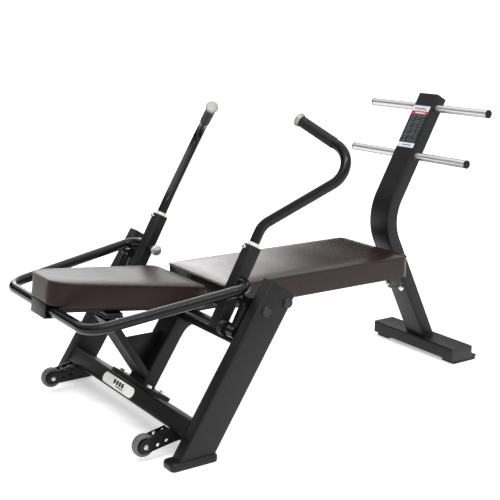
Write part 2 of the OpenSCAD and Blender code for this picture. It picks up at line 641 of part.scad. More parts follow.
place() leg(1);  // left_leg
place() leg(-1);  // right_leg
place() foot_cap(1);  // left_foot_cap
place() foot_cap(-1);  // right_foot_cap
place() lower_cross_beam();
place() badge_plate();
place() upper_cross_beam();
place() leg_bolt_caps();
place() wheel_bracket(1);  // left_wheel_bracket
place() wheel_bracket(-1);  // right_wheel_bracket
place() wheel_axles();
place() tyre(1);  // left_tyre
place() hub(1);  // left_hub
place() tyre(-1);  // right_tyre
place() hub(-1);  // right_hub
place() base_flange();
place() base_bolts();
place() centre_post();
place() rest_strut();
place() gusset_plate();
place() rest_bumper();
place() seat_beam();
place() seat_board();
place() seat_pad();
place() seat_flange();
place() seat_flange_bolts();
place() rear_post();
place() rear_post_cap();
place() placard();
place() foot_pegs();
place() peg_end_caps();
place() rear_foot();
place() rear_foot_end_caps();
place() rear_foot_pads();
place() pivot_brackets();
place() pivot_bushes();
place() bracket_bolts();
place() pivot_shaft();
place() u_bar();
place() sleeve(1);  // left_sleeve
place() sleeve(-1);  // right_sleeve
place() brace(1);  // left_brace
place() brace(-1);  // right_brace
place() tip_bracket();
place() carrier_beam();
place() back_board();
place() back_pad();
place() sleeve_collars();
place() set_screws();
place() pin_housing();
place() pull_pin();  // left_pull_pin
place() handle(1);  // left_handle
place() grip(1);  // left_grip
place() grip_cap(1);  // left_grip_cap
place() handle(-1);  // right_handle
place() grip(-1);  // right_grip
place() grip_cap(-1);  // right_grip_cap
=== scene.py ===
import bpy, bmesh, json, math
from mathutils import Vector, Matrix, noise


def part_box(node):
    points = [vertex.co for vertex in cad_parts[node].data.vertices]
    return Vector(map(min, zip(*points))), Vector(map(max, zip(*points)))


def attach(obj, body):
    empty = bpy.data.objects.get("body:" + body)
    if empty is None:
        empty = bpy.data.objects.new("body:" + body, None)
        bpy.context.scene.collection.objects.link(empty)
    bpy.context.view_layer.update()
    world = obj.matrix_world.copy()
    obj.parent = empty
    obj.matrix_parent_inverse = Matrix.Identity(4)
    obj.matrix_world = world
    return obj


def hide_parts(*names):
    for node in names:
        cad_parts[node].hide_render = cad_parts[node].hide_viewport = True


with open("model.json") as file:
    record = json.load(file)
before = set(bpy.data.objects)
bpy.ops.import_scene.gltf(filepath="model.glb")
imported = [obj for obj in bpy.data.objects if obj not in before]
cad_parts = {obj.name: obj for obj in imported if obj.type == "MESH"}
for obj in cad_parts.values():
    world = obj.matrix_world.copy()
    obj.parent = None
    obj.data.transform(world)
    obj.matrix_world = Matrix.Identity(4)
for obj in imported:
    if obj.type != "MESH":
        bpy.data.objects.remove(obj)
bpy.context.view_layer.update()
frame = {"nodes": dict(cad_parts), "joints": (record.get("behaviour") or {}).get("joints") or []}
scene = bpy.context.scene
COL = scene.collection
N = frame["nodes"]
JOINT = {j["name"]: j for j in frame["joints"]}

# ---------------------------------------------------------------- positions
# Lengths below are millimetres from the CAD datum; P() turns them into metres
# in the row frame, whose x is taken from the back rest's hinge.
OX = -318.0 - JOINT["back_rest_hinge"]["pos_m"][0] * 1000.0


def P(x, y, z):
    return Vector(((x - OX) / 1000.0, y / 1000.0, z / 1000.0))


def frame_at(origin, ry):
    """Frame turned by ry degrees about Y, as the CAD's frames are."""
    m = Matrix.Rotation(math.radians(ry), 4, "Y")
    m.translation = P(*origin)
    return m


LEAN, SLV = 57.1, 61.0
LEGS = frame_at((-228.5, 0, 508), 90 - LEAN)
PADF = frame_at((-277.3, 0, 436.3), 7.7)
POST_LOW = frame_at((746.7 - 176 * math.cos(math.radians(25.5)), 0, 522 - 176 * math.sin(math.radians(25.5))), -25.5)
POST_UP = frame_at((746.7 - 176 * math.cos(math.radians(29.2)), 0, 522 + 176 * math.sin(math.radians(29.2))), 29.2)


def sleeve_frame(sy):
    return frame_at((-190.7, sy * 290, 574.2), 90 - SLV)


def T(x, y, z):
    return Matrix.Translation(Vector((x, y, z)) / 1000.0)


def RX(a):
    return Matrix.Rotation(math.radians(a), 4, "X")


def RY(a):
    return Matrix.Rotation(math.radians(a), 4, "Y")


def RZ(a):
    return Matrix.Rotation(math.radians(a), 4, "Z")


# ---------------------------------------------------------------- materials
def new_mat(name):
    m = bpy.data.materials.new(name)
    m.use_nodes = True
    nt = m.node_tree
    nt.nodes.clear()
    out = nt.nodes.new("ShaderNodeOutputMaterial")
    b = nt.nodes.new("ShaderNodeBsdfPrincipled")
    nt.links.new(b.outputs[0], out.inputs[0])
    return m, nt, b


def node(nt, kind, **kw):
    n = nt.nodes.new(kind)
    for k, v in kw.items():
        if k in n.inputs:
            n.inputs[k].default_value = v
        else:
            setattr(n, k, v)
    return n


def coords(nt):
    return nt.nodes.new("ShaderNodeTexCoord").outputs["Object"]


def ramp(nt, fac, stops):
    r = nt.nodes.new("ShaderNodeValToRGB")
    e = r.color_ramp.elements
    e[0].position, e[0].color = stops[0][0], (*stops[0][1], 1)
    e[1].position, e[1].color = stops[-1][0], (*stops[-1][1], 1)
    for p, c in stops[1:-1]:
        x = e.new(p)
        x.color = (*c, 1)
    nt.links.new(fac, r.inputs["Fac"])
    return r.outputs["Color"]


def mapr(nt, val, a, b, c, d):
    r = node(nt, "ShaderNodeMapRange")
    nt.links.new(val, r.inputs["Value"])
    for k, v in zip(("From Min", "From Max", "To Min", "To Max"), (a, b, c, d)):
        r.inputs[k].default_value = v
    return r.outputs["Result"]


def bump(nt, height, strength, dist, prev=None):
    b = node(nt, "ShaderNodeBump", Strength=strength, Distance=dist)
    nt.links.new(height, b.inputs["Height"])
    if prev is not None:
        nt.links.new(prev, b.inputs["Normal"])
    return b.outputs["Normal"]


def noise_tex(nt, vec, scale, detail=2.0, rough=0.5, dist=0.0):
    n = node(nt, "ShaderNodeTexNoise", Scale=scale, Detail=detail, Roughness=rough, Distortion=dist)
    nt.links.new(vec, n.inputs["Vector"])
    return n


def mix(nt, fac, a, b, mode="MIX"):
    m = nt.nodes.new("ShaderNodeMix")
    m.data_type = "RGBA"
    m.blend_type = mode
    if isinstance(fac, (int, float)):
        m.inputs[0].default_value = fac
    else:
        nt.links.new(fac, m.inputs[0])
    for i, v in ((6, a), (7, b)):
        if isinstance(v, tuple):
            m.inputs[i].default_value = (*v, 1)
        else:
            nt.links.new(v, m.inputs[i])
    return m.outputs[2]


def edge_mask(nt, radius=0.0014):
    """1 on worn outer edges, 0 on flat faces."""
    bev = node(nt, "ShaderNodeBevel", samples=4)
    bev.inputs["Radius"].default_value = radius
    geo = nt.nodes.new("ShaderNodeNewGeometry")
    d = node(nt, "ShaderNodeVectorMath", operation="DOT_PRODUCT")
    nt.links.new(bev.outputs[0], d.inputs[0])
    nt.links.new(geo.outputs["Normal"], d.inputs[1])
    return mapr(nt, d.outputs["Value"], 0.995, 0.86, 0.0, 1.0)


def powder(name, base, rough=0.44, grain=1.0, wear=True, spec=0.34):
    m, nt, b = new_mat(name)
    v = coords(nt)
    big = noise_tex(nt, v, 6.0, 3.0)
    mid = noise_tex(nt, v, 90.0, 4.0, 0.6)
    fine = noise_tex(nt, v, 1100.0, 2.0, 0.55)
    c1 = ramp(nt, big.outputs["Fac"], [(0.3, tuple(x * 0.86 for x in base)), (0.7, tuple(x * 1.12 for x in base))])
    c2 = mix(nt, mapr(nt, mid.outputs["Fac"], 0.35, 0.7, 0.0, 0.25), c1, tuple(x * 1.5 for x in base))
    if wear:
        em = edge_mask(nt)
        brk = node(nt, "ShaderNodeMath", operation="MULTIPLY")
        nt.links.new(em, brk.inputs[0])
        nt.links.new(mapr(nt, mid.outputs["Fac"], 0.45, 0.62, 0.0, 0.6), brk.inputs[1])
        c2 = mix(nt, brk.outputs[0], c2, tuple(min(1, x * 3.4 + 0.02) for x in base))
    nt.links.new(c2, b.inputs["Base Color"])
    nt.links.new(mapr(nt, mid.outputs["Fac"], 0.3, 0.7, rough - 0.05, rough + 0.07), b.inputs["Roughness"])
    n1 = bump(nt, fine.outputs["Fac"], 0.28 * grain, 0.0006)
    n2 = bump(nt, mid.outputs["Fac"], 0.10 * grain, 0.0010, n1)
    nt.links.new(n2, b.inputs["Normal"])
    b.inputs["Specular IOR Level"].default_value = spec
    return m


def vinyl(name, base, light, grain_scale=620.0, rough=0.22, spec=0.23):
    """Coated upholstery: leather grain and soft pores in bump, painted shade darkening the grain's creases, satin coat.
    """
    m, nt, b = new_mat(name)
    v = coords(nt)
    warp = noise_tex(nt, v, 70.0, 3.0)
    add = node(nt, "ShaderNodeVectorMath", operation="MULTIPLY_ADD")
    nt.links.new(warp.outputs["Color"], add.inputs[0])
    add.inputs[1].default_value = (0.004, 0.004, 0.004)
    nt.links.new(v, add.inputs[2])
    vor = node(nt, "ShaderNodeTexVoronoi", Scale=grain_scale, feature="DISTANCE_TO_EDGE")
    nt.links.new(add.outputs[0], vor.inputs["Vector"])
    cells = mapr(nt, vor.outputs["Distance"], 0.0, 0.16, 0.0, 1.0)
    fine = noise_tex(nt, v, 1700.0, 2.0)
    big = noise_tex(nt, v, 9.0, 3.0)
    mott = noise_tex(nt, v, 42.0, 4.0, 0.6)
    c = ramp(nt, big.outputs["Fac"], [(0.3, base), (0.7, light)])
    c = mix(nt, mapr(nt, mott.outputs["Fac"], 0.4, 0.75, 0.0, 0.3), c, tuple(x * 0.75 for x in base))
    # painted shade: the base colour darkens towards the edges of the grain cells, the creases of the grain
    c = mix(nt, mapr(nt, vor.outputs["Distance"], 0.0, 0.07, 0.4, 0.0), c, tuple(x * 0.55 for x in base))
    nt.links.new(c, b.inputs["Base Color"])
    nt.links.new(mapr(nt, mott.outputs["Fac"], 0.3, 0.7, rough, rough + 0.03), b.inputs["Roughness"])
    n1 = bump(nt, cells, 0.10, 0.0003)
    n2 = bump(nt, fine.outputs["Fac"], 0.06, 0.0002, n1)
    nt.links.new(n2, b.inputs["Normal"])
    b.inputs["Specular IOR Level"].default_value = spec
    return m


def rubber(name, base, scale=500.0, rough=0.62):
    m, nt, b = new_mat(name)
    v = coords(nt)
    big = noise_tex(nt, v, 14.0, 4.0, 0.6)
    fine = noise_tex(nt, v, scale, 3.0, 0.6)
    c = ramp(nt, big.outputs["Fac"], [(0.3, tuple(x * 0.8 for x in base)), (0.72, tuple(min(1, x * 1.25) for x in base))])
    dust = mapr(nt, fine.outputs["Fac"], 0.55, 0.75, 0.0, 0.22)
    c = mix(nt, dust, c, tuple(min(1, x * 2.0 + 0.015) for x in base))
    nt.links.new(c, b.inputs["Base Color"])
    nt.links.new(mapr(nt, fine.outputs["Fac"], 0.3, 0.7, rough - 0.06, rough + 0.1), b.inputs["Roughness"])
    nt.links.new(bump(nt, fine.outputs["Fac"], 0.22, 0.0005), b.inputs["Normal"])
    b.inputs["Specular IOR Level"].default_value = 0.26
    return m


def plastic(name, base, rough=0.38):
    m, nt, b = new_mat(name)
    v = coords(nt)
    big = noise_tex(nt, v, 20.0, 3.0)
    fine = noise_tex(nt, v, 900.0, 2.0)
    c = ramp(nt, big.outputs["Fac"], [(0.3, tuple(x * 0.9 for x in base)), (0.7, tuple(min(1, x * 1.08) for x in base))])
    nt.links.new(c, b.inputs["Base Color"])
    nt.links.new(mapr(nt, fine.outputs["Fac"], 0.3, 0.7, rough - 0.04, rough + 0.06), b.inputs["Roughness"])
    nt.links.new(bump(nt, fine.outputs["Fac"], 0.10, 0.0003), b.inputs["Normal"])
    b.inputs["Specular IOR Level"].default_value = 0.34
    return m


def steel(name, base=(0.72, 0.72, 0.73), rough=0.16, along="Y", streak=0.5, stain=0.2, grazing_shade=0.0):
    """Polished or brushed steel, its lines running round the bar, optionally with painted shade darkening it towards
    its grazing edges.
    """
    m, nt, b = new_mat(name)
    v = coords(nt)
    sc = node(nt, "ShaderNodeMapping")
    k = {"X": (1500, 10, 10), "Y": (10, 1500, 10), "Z": (10, 10, 1500)}[along]
    sc.inputs["Scale"].default_value = k
    nt.links.new(v, sc.inputs["Vector"])
    lines = noise_tex(nt, sc.outputs[0], 1.0, 2.0, 0.6)
    big = noise_tex(nt, v, 22.0, 4.0, 0.6)
    c = ramp(nt, big.outputs["Fac"], [(0.3, tuple(x * (1 - stain * 0.5) for x in base)), (0.7, tuple(min(1, x * (1 + stain * 0.3)) for x in base))])
    c = mix(nt, mapr(nt, lines.outputs["Fac"], 0.35, 0.65, 0.0, 0.15), c, tuple(x * 0.8 for x in base))
    nt.links.new(c, b.inputs["Base Color"])
    b.inputs["Metallic"].default_value = 1.0
    # painted shade: this darkens the base colour and the specular tint towards the silhouette, by the view angle,
    # standing in for darker reflections at grazing edges
    if grazing_shade:
        lw = node(nt, "ShaderNodeLayerWeight", Blend=0.42)
        c = mix(nt, mapr(nt, lw.outputs["Facing"], 0.25, 0.95, 0.0, 1.0), c, tuple(x * grazing_shade for x in base))
        nt.links.new(c, b.inputs["Base Color"])
        b.inputs["Specular Tint"].default_value = (grazing_shade, grazing_shade, grazing_shade, 1)
    r = node(nt, "ShaderNodeMath", operation="MULTIPLY_ADD")
    nt.links.new(lines.outputs["Fac"], r.inputs[0])
    r.inputs[1].default_value = 0.10 * streak
    nt.links.new(mapr(nt, big.outputs["Fac"], 0.3, 0.7, rough - 0.03, rough + 0.04), r.inputs[2])
    nt.links.new(r.outputs[0], b.inputs["Roughness"])
    nt.links.new(bump(nt, lines.outputs["Fac"], 0.05 * streak, 0.0003), b.inputs["Normal"])
    return m


PAINT = powder("powder_black", (0.0058, 0.0060, 0.0062), rough=0.42, spec=0.24)
PAINT_TUBE = powder("powder_black_tube", (0.0045, 0.0046, 0.0048), rough=0.19, grain=0.10, spec=0.22)
VINYL = vinyl("vinyl_brown", (0.0170, 0.0088, 0.0076), (0.0200, 0.0106, 0.0092))
VINYL_BACK = vinyl("vinyl_brown_back", (0.0170, 0.0088, 0.0076), (0.0200, 0.0106, 0.0092), 620.0, 0.31, 0.15)
THREAD = rubber("thread_brown", (0.030, 0.018, 0.016), 2500.0, 0.55)
PIPING = vinyl("vinyl_piping", (0.008, 0.005, 0.0045), (0.011, 0.007, 0.006), 900.0)
RUBBER = rubber("rubber_black", (0.006, 0.006, 0.0063), 500.0, 0.34)
GRIP = rubber("grip_rubber", (0.0048, 0.0048, 0.0050), 700.0, 0.52)
TYRE = rubber("tyre_grey", (0.105, 0.107, 0.11), 420.0, 0.45)
CAPBLK = plastic("plastic_black", (0.009, 0.009, 0.0095), 0.40)
CAPMATT = rubber("cap_matt_black", (0.0030, 0.0030, 0.0032), 600.0, 0.55)
HUBP = plastic("hub_black", (0.014, 0.014, 0.015), 0.45)
CREAM = plastic("nylon_cream", (0.60, 0.59, 0.52), 0.4)
BADGE = plastic("badge_film", (0.88, 0.89, 0.85), 0.3)
INK = plastic("badge_ink", (0.012, 0.020, 0.016), 0.45)
# the pegs' steel carries painted shade that darkens it towards its grazing edges
CHROME = steel("steel_polished", (0.70, 0.70, 0.71), 0.40, "Y", 0.2, 0.06, grazing_shade=0.22)
SHAFT = steel("steel_shaft", (0.07, 0.07, 0.073), 0.34, "Y", 0.5, 0.3)
ZINC = steel("zinc_plate", (0.66, 0.67, 0.69), 0.24, "Z", 0.6, 0.35)
PINST = steel("steel_pin", (0.68, 0.685, 0.69), 0.32, "Y", 0.6, 0.2)
PINST2 = steel("alu_knurl", (0.52, 0.525, 0.53), 0.36, "X", 0.6, 0.2)
CAPST = steel("alu_cap", (0.31, 0.31, 0.29), 0.46, "Z", 0.5, 0.2)
BOARD = powder("board_black", (0.012, 0.012, 0.0125), rough=0.6, grain=1.6, wear=False)
WELD = powder("weld_bead", (0.006, 0.006, 0.0062), rough=0.44, grain=0.5, wear=False, spec=0.2)
WHITEP = plastic("placard_white", (0.66, 0.67, 0.68), 0.34)
REDP = plastic("placard_red", (0.42, 0.028, 0.030), 0.32)
DARKP = plastic("placard_dark", (0.007, 0.011, 0.015), 0.48)
GREYP = plastic("placard_grey", (0.085, 0.105, 0.115), 0.42)
BLUEP = plastic("placard_blue", (0.018, 0.06, 0.16), 0.32)

# ---------------------------------------------------------------- CAD nodes
LOOK = {
    "left_foot_cap": RUBBER, "right_foot_cap": RUBBER, "rest_bumper": RUBBER, "rear_foot_pads": RUBBER,
    "leg_bolt_caps": CAPBLK, "rear_post_cap": CAPBLK, "peg_end_caps": CAPMATT, "rear_foot_end_caps": CAPBLK,
    "badge_plate": BADGE, "wheel_axles": ZINC, "base_bolts": ZINC, "seat_flange_bolts": ZINC,
    "bracket_bolts": ZINC, "set_screws": ZINC, "foot_pegs": CHROME, "pivot_shaft": SHAFT,
    "pivot_bushes": CAPBLK, "sleeve_collars": CREAM, "left_pull_pin": PINST, "right_pull_pin": PINST,
    "seat_board": BOARD, "back_board": BOARD, "u_bar": PAINT_TUBE, "left_handle": PAINT_TUBE,
    "right_handle": PAINT_TUBE, "left_brace": PAINT_TUBE, "right_brace": PAINT_TUBE, "placard": DARKP,
    "left_grip_cap": CAPST, "right_grip_cap": CAPST, "left_hub": HUBP, "right_hub": HUBP,
}
BEVEL = {"base_flange": 1.6, "seat_flange": 1.6, "gusset_plate": 1.2, "tip_bracket": 1.6, "rest_bumper": 1.5, "rest_strut": 0.8,
         "upper_cross_beam": 0.6, "lower_cross_beam": 0.6, "left_foot_cap": 0.8, "right_foot_cap": 0.8, "rear_foot_pads": 1.2,
         "base_bolts": 0.6, "seat_flange_bolts": 0.6, "bracket_bolts": 0.5, "wheel_axles": 0.5, "leg_bolt_caps": 0.6,
         "left_grip_cap": 0.5, "right_grip_cap": 0.5, "rear_post_cap": 0.8, "rear_foot_end_caps": 0.8, "peg_end_caps": 0.5,
         "left_leg": 0.6, "right_leg": 0.6, "left_pull_pin": 0.5, "right_pull_pin": 0.5, "badge_plate": 0.5, "pivot_brackets": 0.8,
         "pin_housing": 0.5, "left_wheel_bracket": 0.5, "right_wheel_bracket": 0.5, "sleeve_collars": 0.5, "left_sleeve": 0.5, "right_sleeve": 0.5}


def smooth_setup(o, bevel=None):
    """Merges the split corners and shades curved faces smoothly, in modifiers only."""
    for p in o.data.polygons:
        p.use_smooth = True
    w = o.modifiers.new("weld", "WELD")
    w.merge_threshold = 0.00002
    if bevel:
        bv = o.modifiers.new("bevel", "BEVEL")
        bv.width = bevel / 1000.0
        bv.segments = 2
        bv.limit_method = "ANGLE"
        bv.angle_limit = math.radians(38)
        bv.use_clamp_overlap = True
        bv.harden_normals = False
    es = o.modifiers.new("split", "EDGE_SPLIT")
    es.split_angle = math.radians(31)
    es.use_edge_sharp = False


for name, o in N.items():
    m = LOOK.get(name, PAINT)
    o.data.materials.clear()
    o.data.materials.append(m)
    if len(o.material_slots):
        o.material_slots[0].material = m
    smooth_setup(o, BEVEL.get(name))


# ---------------------------------------------------------------- mesh tools
def make(name, verts, faces, mat, body, smooth=True):
    me = bpy.data.meshes.new(name)
    me.from_pydata([tuple(v) for v in verts], [], faces)
    me.validate()
    bm = bmesh.new()
    bm.from_mesh(me)
    bmesh.ops.recalc_face_normals(bm, faces=bm.faces)
    bm.to_mesh(me)
    bm.free()
    me.materials.append(mat)
    for p in me.polygons:
        p.use_smooth = smooth
    o = bpy.data.objects.new(name, me)
    COL.objects.link(o)
    if body:
        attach(o, body)
    return o


def lathe(profile, M, seg=64, closed=False):
    """Turned solid: profile of (radius, z) in mm about the local Z of M."""
    verts, faces = [], []
    n = len(profile)
    for i in range(seg):
        a = 2 * math.pi * i / seg
        for r, z in profile:
            verts.append(M @ Vector((r * math.cos(a), r * math.sin(a), z)) if False else M @ (Vector((r * math.cos(a), r * math.sin(a), z)) / 1000.0))
    for i in range(seg):
        j = (i + 1) % seg
        for k in range(n - 1 if not closed else n):
            l = (k + 1) % n
            faces.append((i * n + k, j * n + k, j * n + l, i * n + l))
    if not closed:
        faces.append(tuple(i * n for i in range(seg))[::-1])
        faces.append(tuple(i * n + n - 1 for i in range(seg)))
    return verts, faces


def tube_along(points, radius, seg=12, closed=True, squash=1.0):
    """Round tube along points (metres); radius may be a function of the index."""
    verts, faces = [], []
    n = len(points)
    rings = []
    for i, p in enumerate(points):
        a = points[(i - 1) % n] if closed or i > 0 else p
        b = points[(i + 1) % n] if closed or i < n - 1 else p
        t = (b - a).normalized()
        up = Vector((0, 0, 1)) if abs(t.z) < 0.9 else Vector((0, 1, 0))
        s = t.cross(up).normalized()
        u = s.cross(t).normalized()
        r = radius(i) if callable(radius) else radius
        ring = []
        for k in range(seg):
            an = 2 * math.pi * k / seg
            ring.append(len(verts))
            verts.append(p + s * (math.cos(an) * r) + u * (math.sin(an) * r * squash))
        rings.append(ring)
    m = n if closed else n - 1
    for i in range(m):
        a, b = rings[i], rings[(i + 1) % n]
        for k in range(seg):
            l = (k + 1) % seg
            faces.append((a[k], a[l], b[l], b[k]))
    if not closed:
        faces.append(tuple(rings[0]))
        faces.append(tuple(reversed(rings[-1])))
    return verts, faces


def join_lists(parts):
    V, F = [], []
    for v, f in parts:
        o = len(V)
        V += v
        F += [tuple(i + o for i in q) for q in f]
    return V, F


def resample(points, step, closed=True):
    pts = list(points) + ([points[0]] if closed else [])
    L = [0.0]
    for a, b in zip(pts, pts[1:]):
        L.append(L[-1] + (b - a).length)
    n = max(4, int(round(L[-1] / step)))
    out, k = [], 0
    for i in range(n if closed else n + 1):
        d = L[-1] * i / n
        while k < len(L) - 2 and L[k + 1] < d:
            k += 1
        t = (d - L[k]) / max(1e-12, L[k + 1] - L[k])
        out.append(pts[k].lerp(pts[k + 1], t))
    return out


def rounded_loop(a, b, r, cx=0.0, cy=0.0, n=8):
    pts = []
    for q in range(4):
        sx = 1 if q in (0, 3) else -1
        sy = 1 if q < 2 else -1
        for i in range(n + 1):
            t = math.radians(q * 90 + 90 * i / n)
            pts.append(Vector((cx + sx * (a / 2 - r) + r * math.cos(t), cy + sy * (b / 2 - r) + r * math.sin(t), 0)))
    return pts


# ---------------------------------------------------------------- weld beads
def bead(points, r=2.6, closed=False, seed=0.0):
    """Fillet weld with the ripple that a torch leaves."""
    pts = resample(points, 0.0016, closed)
    off = seed * 7.3

    def rad(i):
        return (r / 1000.0) * (1 + 0.10 * math.sin(i * 2.1 + off) + 0.10 * noise.noise(Vector((i * 0.13, off, 0))))
    return tube_along(pts, rad, 8, closed)


def bead_rect(M, a, b, r=2.6, rad=7.0, cx=0, cy=0):
    pts = [M @ (Vector((p.x, p.y, 0)) / 1000.0) for p in rounded_loop(a, b, rad, cx, cy, 6)]
    return bead(pts, r, True, a + b)


beads = []
# cross beams into the legs
for sy in (-1, 1):
    M = LEGS @ T(50, sy * 401, -487) @ RX(90)
    beads.append(bead_rect(M, 100, 52, 2.6))
    M = LEGS @ T(77, sy * 401, -187) @ RX(90)
    beads.append(bead_rect(M, 46, 48, 2.4, 6))
# centre post on its flange and under the upper beam
beads.append(bead_rect(LEGS @ T(55, 0, -449), 50, 100, 2.8))
beads.append(bead_rect(LEGS @ T(67, 0, -211), 26, 100, 2.2, 5))
# gusset plate edges: two points are set here, but no bead is laid along them
pts = [P(-423.5, 4.6, 158), P(-423.5 + 71, 4.6, 262 + 4)]
# rear post on the rear foot
xr = 587.85 + (446.2 - 60) * math.tan(math.radians(25.5))
beads.append(bead([P(xr + dx, dy, 60.4) for dx, dy in [(-27.7, -43), (-27.7, 43), (-20, 50), (20, 50), (27.7, 43), (27.7, -43), (20, -50), (-20, -50)]], 3.0, True, 3))
V, F = join_lists(beads)
make("weld_beads_frame", V, F, WELD, "frame")

# lever welds: U-bar into the sleeves
beads = []
for sy in (-1, 1):
    S = sleeve_frame(sy)
    M = S @ T(1.5, sy * 312.5 - sy * 290, -112.5) @ RX(90)
    beads.append(bead([M @ (Vector((16.2 * math.cos(t / 24 * 2 * math.pi), 16.2 * math.sin(t / 24 * 2 * math.pi), 0)) / 1000.0) for t in range(24)], 2.2, True, sy))
V, F = join_lists(beads)
make("weld_beads_lever", V, F, WELD, "back_rest")


# ---------------------------------------------------------------- pads
def pad_outline_seat(inset=0.0):
    cx = -225 + 755 / 2
    return [Vector((p.x, p.y, 0)) for p in rounded_loop(755 - 2 * inset, 380 - 2 * inset, max(24 - inset, 6), cx, 0, 10)]


def hw(u):
    return 105 + (171 - 105) * u - (105 - 58) * math.exp(-u / 0.045)


def pad_outline_back(inset=0.0):
    L, r = 479.0, 20.0
    side = []
    for i in range(61):
        u = (i / 60) ** 1.6
        x = inset + u * (L - 2 * inset)
        cut = 0.0
        if x > L - inset - r:
            cut = r - math.sqrt(max(0.0, r * r - (x - (L - inset - r)) ** 2))
        side.append((-L + x, hw(x / L) - inset - cut))
    pts = [Vector((x, -y, 0)) for x, y in side] + [Vector((x, y, 0)) for x, y in reversed(side)]
    return pts


def dedupe(pts, tol=0.4):
    out = []
    for p in pts:
        if not out or (p - out[-1]).length > tol:
            out.append(p)
    if (out[0] - out[-1]).length < tol:
        out.pop()
    return out


def closed_prism(outline_fn, z_rings, M):
    """z_rings: (inset, z) from the bottom edge up to the top edge, closed by two caps."""
    loops = []
    ref = dedupe(outline_fn(0.0))
    ref = [p * 1000 for p in resample([q / 1000 for q in ref], 0.006, True)]
    n = len(ref)
    cen = sum((p for p in ref), Vector()) / n
    verts, faces = [], []
    nor = []
    for i, p in enumerate(ref):
        t = (ref[(i + 1) % n] - ref[i - 1]).normalized()
        q = Vector((t.y, -t.x, 0))
        if q.dot(p - cen) < 0:
            q = -q
        nor.append(q)
    for inset, z in z_rings:
        loops.append(len(verts))
        for p, q in zip(ref, nor):
            w = p - q * inset
            verts.append(M @ (Vector((w.x, w.y, z)) / 1000.0))
    for a, b in zip(loops, loops[1:]):
        for i in range(n):
            j = (i + 1) % n
            faces.append((a + i, a + j, b + j, b + i))
    faces.append(tuple(loops[0] + i for i in range(n))[::-1])
    faces.append(tuple(loops[-1] + i for i in range(n)))
    return verts, faces


def make_pad(name, outline_fn, M, z0, z1, crown, cap, body, node_name, mat):
    """Upholstered pad: a cloth skin blown up inside its seams, then a crown for the foam."""
    v, f = closed_prism(outline_fn, [(3.5, z0), (1.0, z0 + 1.2), (0.6, z0 + 5), (0.6, z1 - 4), (1.4, z1 - 1.2), (3.4, z1)], Matrix.Identity(4))
    o = make(name, v, f, mat, None)
    bpy.context.view_layer.objects.active = o
    for x in bpy.context.selected_objects:
        x.select_set(False)
    o.select_set(True)
    rm = o.modifiers.new("remesh", "REMESH")
    rm.mode = "VOXEL"
    rm.voxel_size = 0.0045
    rm.use_smooth_shade = True
    bpy.ops.object.modifier_apply(modifier=rm.name)
    me = o.data
    # which points the seams and the staples hold
    ol = [p / 1000.0 for p in outline_fn(0.0)]
    rest = [vv.co.copy() for vv in me.vertices]
    zt, zb = z1 / 1000.0, z0 / 1000.0

    def edge_dist(p):
        best = 9.0
        for a, b in zip(ol, ol[1:] + ol[:1]):
            ab = b - a
            t = max(0.0, min(1.0, (p.x - a.x) * ab.x + (p.y - a.y) * ab.y) / max(1e-12, ab.x * ab.x + ab.y * ab.y)) if ab.length > 1e-9 else 0
            t = ((p.x - a.x) * ab.x + (p.y - a.y) * ab.y) / max(1e-12, ab.x * ab.x + ab.y * ab.y)
            t = max(0.0, min(1.0, t))
            d = math.hypot(p.x - a.x - ab.x * t, p.y - a.y - ab.y * t)
            best = min(best, d)
        return best
    dist = [edge_dist(p) for p in rest]
    vg = o.vertex_groups.new(name="pin")
    for i, p in enumerate(rest):
        on_top_seam = p.z > zt - 0.006 and dist[i] < 0.0055
        on_bottom = p.z < zb + 0.006
        if on_top_seam or on_bottom:
            vg.add([i], 1.0, "REPLACE")
    cl = o.modifiers.new("cloth", "CLOTH")
    cs = cl.settings
    cs.quality = 6
    cs.mass = 0.3
    cs.tension_stiffness = 30
    cs.compression_stiffness = 30
    cs.shear_stiffness = 12
    cs.bending_stiffness = 2.0
    cs.use_pressure = True
    cs.uniform_pressure_force = 4.0
    cs.vertex_group_mass = "pin"
    cs.effector_weights.gravity = 0.0
    cl.collision_settings.use_collision = False
    cl.point_cache.frame_start = 1
    cl.point_cache.frame_end = 20
    for fr in range(1, 21):
        scene.frame_set(fr)
    dg = bpy.context.evaluated_depsgraph_get()
    ev = o.evaluated_get(dg)
    moved = [vv.co.copy() for vv in ev.data.vertices]
    o.modifiers.remove(cl)
    scene.frame_set(1)
    for i, vv in enumerate(me.vertices):
        d = moved[i] - rest[i]
        lim = cap / 1000.0
        if d.length > lim:
            d = d * (lim / d.length)
        p = rest[i] + d
        # the foam's own crown, highest along the middle and soft at the seam
        if rest[i].z > (zt + zb) / 2 - 0.0:
            k = min(1.0, dist[i] / 0.05)
            g = 1 - (1 - k) ** 2.2
            hz = max(0.0, min(1.0, (rest[i].z - (zt - 0.004)) / 0.003))
            p.z += crown / 1000.0 * g * hz
            # light gathers running in from the seam
            w = math.exp(-(dist[i] - 0.006) / 0.012) if dist[i] > 0.004 else 0.0
            p.z += hz * w * 0.0005 * noise.noise(Vector((rest[i].x * 55, rest[i].y * 55, 1.7)))
        vv.co = p
    # the skin is evened out away from its seams
    nb = [[] for _ in me.vertices]
    for e in me.edges:
        a, b = e.vertices
        nb[a].append(b)
        nb[b].append(a)
    free = []
    for i, p in enumerate(rest):
        q = max(dist[i], min(zt - p.z, p.z - zb))
        free.append(max(0.0, min(1.0, (q - 0.0045) / 0.006)))
    cur = [vv.co.copy() for vv in me.vertices]
    for _ in range(8):
        nxt = []
        for i, p in enumerate(cur):
            if free[i] > 0 and nb[i]:
                m_ = sum((cur[j] for j in nb[i]), Vector()) / len(nb[i])
                nxt.append(p.lerp(m_, 0.6 * free[i]))
            else:
                nxt.append(p)
        cur = nxt
    for vv, p in zip(me.vertices, cur):
        vv.co = p
    o.vertex_groups.clear()
    me.transform(M)
    sb = o.modifiers.new("subdiv", "SUBSURF")
    sb.levels = sb.render_levels = 1
    for p in me.polygons:
        p.use_smooth = True
    me.update()
    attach(o, body)
    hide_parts(node_name)
    return o


